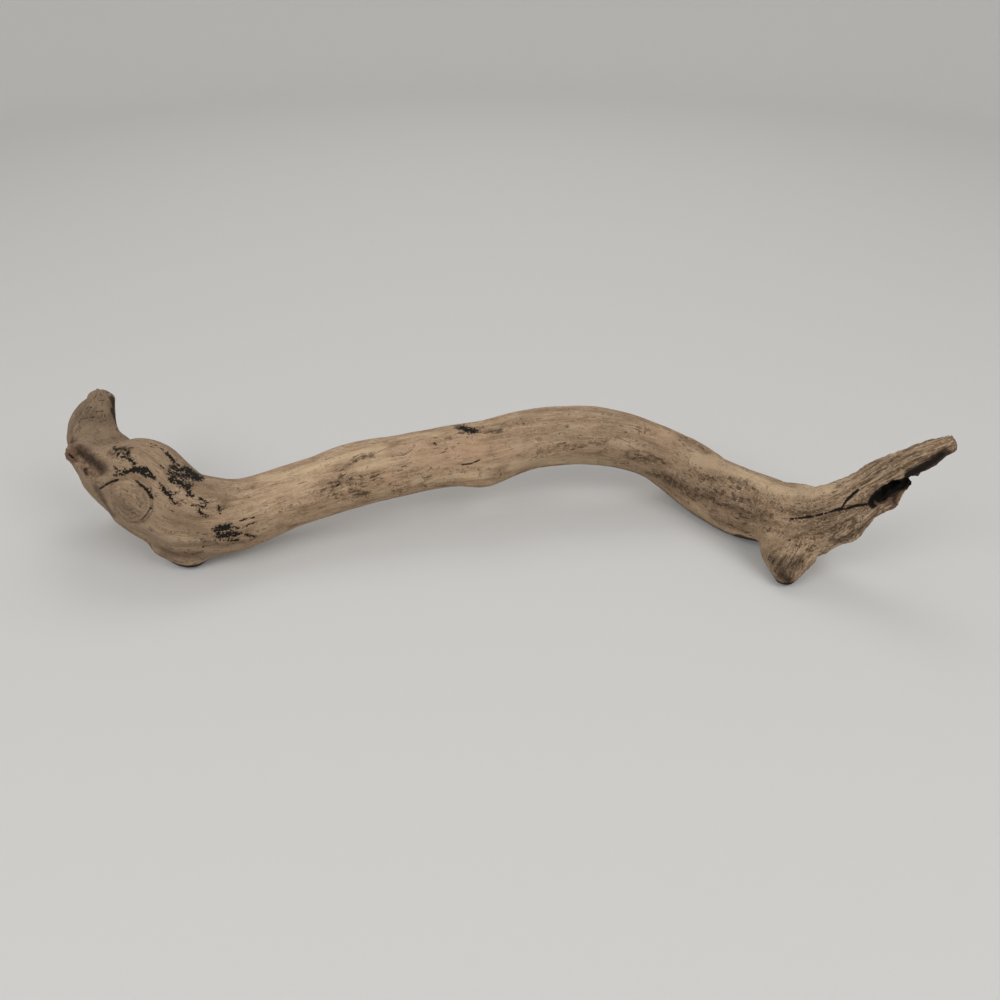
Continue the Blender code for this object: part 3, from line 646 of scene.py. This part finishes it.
    # Painted shade in the hollow: near black along its line and in its upper part, under the prong.
    heart = [seenPlace(tree, *corner) for corner in hollowShadowLine["line"]]
    deep = 1.3 * bell(lineDistance(points, heart), hollowShadowLine["halfWidth"] * (1 + 0.25 * lumps))
    deep = (1 - smoothStep(hollow, 1.03, 1.25)) * np.maximum(deep, 1 - smoothStep(inHollow[:, 2], 0.2, 0.6))
    # The broken beak face and the walls of the hollow take the broken wood's darker brown, which is also
    # painted shade in these recesses.
    tornBeak = 1 - smoothStep(beakFace + 0.2 * grit, 0.75, 1.3)
    torn = np.maximum(0.8 * (1 - smoothStep(hollow, 1.0, 1.25)), tornBeak)
    storeVector(mesh, "torn", [dark, deep, torn])
    mesh.shade_smooth()
    return piece


def linear(code):
    # An sRGB hex colour turned to linear: ((c + 0.055) / 1.055)^2.4 above 0.04045, and c / 12.92 below.
    parts = [int(code[k:k + 2], 16) / 255 for k in (1, 3, 5)]
    return [c / 12.92 if c <= 0.04045 else ((c + 0.055) / 1.055)**2.4 for c in parts] + [1.0]


def addNode(material, kind, settings=None, inputs=None):
    # One node with its settings, whose inputs are given a value or linked to another node's output.
    node = material.node_tree.nodes.new(kind)
    for name, value in (settings or {}).items():
        setattr(node, name, value)
    for name, value in (inputs or {}).items():
        if isinstance(value, bpy.types.NodeSocket):
            material.node_tree.links.new(value, node.inputs[name])
        else:
            node.inputs[name].default_value = value
    return node


# Bare driftwood: wood that water has rubbed and sun has greyed. It is dull, pale on the ridges and brown in
# the grain, with black galleries that beetles left under the bark.
driftwood = {
    "ramp": ((0.05, "#6b543f"), (0.36, "#967c62"), (0.6, "#b0967a"), (0.92, "#c6b094")),  # furrow to ridge
    "greyed": "#7d6b58",  # where it is most weathered
    "warm": "#bb9a7d",  # the pinkish heartwood
    "pale": "#c9b08f",  # rubbed smooth, also painted light under the arch
    "stain": "#5a4634",  # bast left in the mottled places
    "fleck": "#c8b190",
    "speck": "#473526",
    "line": "#4b3929",
    # dark: darker wood, also painted shade at the floor contact, in the beak's scoop and under the long prong
    "dark": "#2f2118",
    # the broken wood's darker brown, also painted shade in the hollow and in the beak's scoop
    "torn": "#63493a",
    # hollow: painted shade, near black, inside the rotted hollow
    "hollow": "#0f0b08",
    # crack: the black of the cracks, also the painted contact shadow along the floor
    "crack": "#1b130e",
    "gallery": "#15110d",
    "fibre": (1.0, 12),  # width and length of a fibre
    "mottle": (6, 13),  # width and length of a mottled patch
    "spot": (1.3, 4.2),  # width and length of a dark speck
    "grit": 1.2,
    "blotch": 3.4,
    "cloud": 34,
    "roughness": 0.82,
    "specular": 0.22,
    "bump": 0.7,
}


def driftwoodMaterial():
    # Colour = a ramp over the sum of the streaks, then each weathering, stain, crack and gallery laid over it
    # by its own share, and with them painted shade (the hollow, the undersides, the floor contact) and
    # painted light under the arch.
    wood = bpy.data.materials.new("bareDriftwood")
    wood.use_nodes = True
    wood.node_tree.nodes.clear()
    stored = {}
    for name in ("grain", "streaks", "marks", "wear", "tints", "torn"):
        stored[name] = addNode(wood, "ShaderNodeAttribute", {"attribute_name": name}).outputs["Vector"]
    parts = {}
    for name in ("streaks", "marks", "wear", "tints", "torn"):
        parts[name] = addNode(wood, "ShaderNodeSeparateXYZ", None, {0: stored[name]}).outputs
    streak = parts["streaks"][0]
    # crack also carries the painted contact shadow close to the floor.
    gallery, stain, crack = (parts["marks"][k] for k in range(3))
    wear, cavity, fibrous = (parts["wear"][k] for k in range(3))
    warm, pale, rings = (parts["tints"][k] for k in range(3))
    # dark and hollow hold painted shade (the hollow's black, the contact shadow, the undersides), and dark
    # also holds darker wood.
    dark, hollow, torn = (parts["torn"][k] for k in range(3))

    patterns = {}
    for name in ("fibre", "mottle", "spot"):
        width, length = driftwood[name]
        stretched = addNode(wood, "ShaderNodeVectorMath", {"operation": "MULTIPLY"},
                            {0: stored["grain"], 1: (1 / length, 1 / width, 1 / width)})
        patterns[name] = addNode(wood, "ShaderNodeTexNoise", None,
                                 {"Vector": stretched.outputs[0], "Scale": 1.0, "Detail": 3.0}).outputs[0]
    place = addNode(wood, "ShaderNodeTexCoord").outputs["Object"]
    for name in ("grit", "blotch", "cloud"):
        scale = 1 / (driftwood[name] * mm)
        patterns[name] = addNode(wood, "ShaderNodeTexNoise", None,
                                 {"Vector": place, "Scale": scale, "Detail": 3.0}).outputs[0]

    # Each row is a sum: where it starts, then how much of each value it takes. The noises spread about 0.1 to
    # each side of 0.5.
    fibre, mottle, spot, grit, blotch, cloud = (
        patterns[name] for name in ("fibre", "mottle", "spot", "grit", "blotch", "cloud"))
    sums = {
        "tone": (-0.82, (streak, 1.0), (fibre, 0.9), (grit, 0.45), (mottle, 0.95), (blotch, 0.3),
                 (rings, -0.36)),
        "greying": (-0.25, (wear, 1.0), (cloud, 0.5)),
        "staining": (-2.95, (stain, 0.72), (mottle, 2.2), (grit, 1.8), (blotch, 1.8), (wear, 0.1)),
        "specks": (-0.85, (stain, 0.27), (spot, 1.5), (mottle, 0.5), (blotch, 0.4), (pale, -0.08)),
        "flecks": (-1.32, (stain, 0.24), (fibrous, 0.24), (fibre, -1.6), (grit, 2.6), (blotch, 1.2)),
        "lines": (-1.05, (fibrous, 0.24), (fibre, 1.9), (spot, 0.3)),
        "edge": (-1.55, (gallery, 0.75), (grit, 2.1), (spot, 0.8)),
        "blush": (-0.5, (warm, 1.0), (cloud, 0.8), (mottle, 0.3)),
        "rubbingAndPaintedLight": (-0.2, (pale, 1.0), (fibre, 0.4)),
        "furrow": (0.0, (cavity, 1.0)),
        "shade": (-0.35, (dark, 1.0), (grit, 0.4), (fibre, 0.3)),
        "tearing": (-0.9, (torn, 1.0), (blotch, 1.0), (fibre, 0.8)),
    }
    values = {"crack": crack, "hollow": hollow}
    for name, (total, *terms) in sums.items():
        for value, share in terms:
            total = addNode(wood, "ShaderNodeMath", {"operation": "MULTIPLY_ADD"},
                            {0: value, 1: share, 2: total}).outputs[0]
        values[name] = total

    ramp = addNode(wood, "ShaderNodeValToRGB", None, {0: values["tone"]})
    stops = ramp.color_ramp.elements
    while len(stops) < len(driftwood["ramp"]):
        stops.new(0.5)
    for stop, (position, code) in zip(stops, driftwood["ramp"]):
        stop.position = position
        stop.color = linear(code)
    colour = ramp.outputs[0]

    # Each layer: its colour, the value that shows it, where it starts, where it is full, and how much it
    # covers. The dark, crack, hollow and torn-wood layers also paint shade, and the pale layer paints light
    # under the arch.
    layers = (
        ("warm", "blush", 0.1, 0.9, 0.5), ("pale", "rubbingAndPaintedLight", 0.1, 0.9, 0.62),
        ("greyed", "greying", 0.1, 0.9, 0.75),
        ("stain", "staining", 0.15, 0.75, 0.68), ("stain", "furrow", 0.0, 1.3, 0.6),
        ("line", "lines", 0.31, 0.43, 0.8),
        ("fleck", "flecks", 0.3, 0.55, 0.5), ("torn", "tearing", 0.15, 0.9, 0.85),
        ("speck", "specks", 0.6, 0.72, 0.75),
        ("dark", "shade", 0.15, 0.9, 0.92), ("crack", "crack", 0.35, 0.8, 1.0),
        ("hollow", "hollow", 0.15, 0.75, 1.0),
        ("stain", "edge", -0.05, 0.35, 0.5), ("gallery", "edge", 0.32, 0.42, 1.0),
    )
    for code, name, low, high, cover in layers:
        share = addNode(wood, "ShaderNodeMapRange", {"interpolation_type": "SMOOTHSTEP"},
                        {0: values[name], 1: low, 2: high, 4: cover}).outputs[0]
        colour = addNode(wood, "ShaderNodeMix", {"data_type": "RGBA"},
                         {0: share, 6: colour, 7: linear(driftwood[code])}).outputs[2]

    bump = addNode(wood, "ShaderNodeBump", None,
                   {"Height": values["tone"], "Distance": driftwood["bump"] * mm, "Strength": 0.6})
    shader = addNode(wood, "ShaderNodeBsdfPrincipled", None,
                     {"Base Color": colour, "Roughness": driftwood["roughness"],
                      "Specular IOR Level": driftwood["specular"], "Normal": bump.outputs[0]})
    addNode(wood, "ShaderNodeOutputMaterial", None, {"Surface": shader.outputs[0]})
    return wood


print("making the skin")
branch = makeSkin(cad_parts["driftwood_branch"])
branch.data.materials.clear()
branch.data.materials.append(driftwoodMaterial())
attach(branch, "root")
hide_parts("driftwood_branch")

# The floor: a flat disc whose rim curves up into a low wall, so that every view has the same pale ground.
floor = {
    "flatRadius": 1350,
    "bendRadius": 350,
    "wallTop": 1100,
    "colour": "#c1c0be",
    "roughness": 0.7,
    "paintedGlow": 0.12,  # painted light: the paper glows, lifting the shadows on it and lighting the wood's underside
}


def makeFloor():
    # A profile turned about Z: straight out, a quarter circle up, then straight up.
    turn = np.linspace(0, 2 * math.pi, 96, endpoint=False)
    bend = np.linspace(0, math.pi / 2, 16)[1:]
    rim = floor["flatRadius"] + floor["bendRadius"]
    radius = np.concatenate([np.linspace(40, floor["flatRadius"], 12),
                             floor["flatRadius"] + floor["bendRadius"] * np.sin(bend), [rim]])
    height = np.concatenate([np.zeros(12), floor["bendRadius"] * (1 - np.cos(bend)), [floor["wallTop"]]])
    across, deep = radius[:, None] * np.cos(turn), radius[:, None] * np.sin(turn)
    rings = np.stack([across, deep, height[:, None] + 0 * turn], axis=2)
    count, sides = len(radius), len(turn)
    row, k = np.meshgrid(np.arange(count - 1), np.arange(sides), indexing="ij")
    after = (k + 1) % sides
    quads = np.stack([row * sides + k, (row + 1) * sides + k, (row + 1) * sides + after, row * sides + after],
                     axis=2).reshape(-1, 4)
    mesh = bpy.data.meshes.new("paleFloor")
    mesh.from_pydata((rings.reshape(-1, 3) * mm).tolist(), [], quads.tolist() + [list(range(sides))])
    mesh.shade_smooth()
    ground = bpy.data.objects.new("paleFloor", mesh)
    bpy.context.scene.collection.objects.link(ground)
    paper = bpy.data.materials.new("mattPaper")  # seamless backdrop paper: matt and even, with a painted glow
    paper.use_nodes = True
    shader = paper.node_tree.nodes["Principled BSDF"]
    shader.inputs["Base Color"].default_value = linear(floor["colour"])
    shader.inputs["Roughness"].default_value = floor["roughness"]
    shader.inputs["Specular IOR Level"].default_value = 0.2
    # Painted light: the floor glows.
    shader.inputs["Emission Color"].default_value = linear(floor["colour"])
    shader.inputs["Emission Strength"].default_value = floor["paintedGlow"]
    mesh.materials.append(paper)
    ground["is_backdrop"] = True


def makeStudio():
    # Camera at its place, turned down by the elevation; panels turned to the aim, and an even sky.
    scene = bpy.context.scene
    camera = bpy.data.objects.new("camera", bpy.data.cameras.new("camera"))
    camera.data.sensor_width = studio["sensor"]
    camera.data.lens = studio["lens"]
    camera.data.clip_start = 0.01
    camera.location = cameraPlace() * mm
    camera.rotation_euler = (math.pi / 2 - math.radians(studio["elevation"]), 0, 0)
    scene.collection.objects.link(camera)
    scene.camera = camera

    for place, power in studio["panels"]:
        panel = bpy.data.objects.new("softPanel", bpy.data.lights.new("softPanel", "AREA"))
        panel.data.shape = "RECTANGLE"
        panel.data.size, panel.data.size_y = (side * mm for side in studio["panelSize"])
        panel.data.energy = power
        panel.location = np.array(place) * mm
        panel.rotation_euler = (Vector(studio["aim"]) - Vector(place)).to_track_quat("-Z", "Y").to_euler()
        scene.collection.objects.link(panel)

    sky = bpy.data.worlds.new("paleRoom")
    sky.use_nodes = True
    background = sky.node_tree.nodes["Background"]
    background.inputs["Color"].default_value = linear(studio["skyColour"])
    background.inputs["Strength"].default_value = studio["skyStrength"]
    scene.world = sky
    scene.view_settings.view_transform = "Standard"


print("floor, light and camera")
makeFloor()
makeStudio()

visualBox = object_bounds()
for name, box in (("CAD", cadBox), ("visual", visualBox)):
    print("size", name, [round((b - a) / mm, 1) for a, b in zip(*box)])
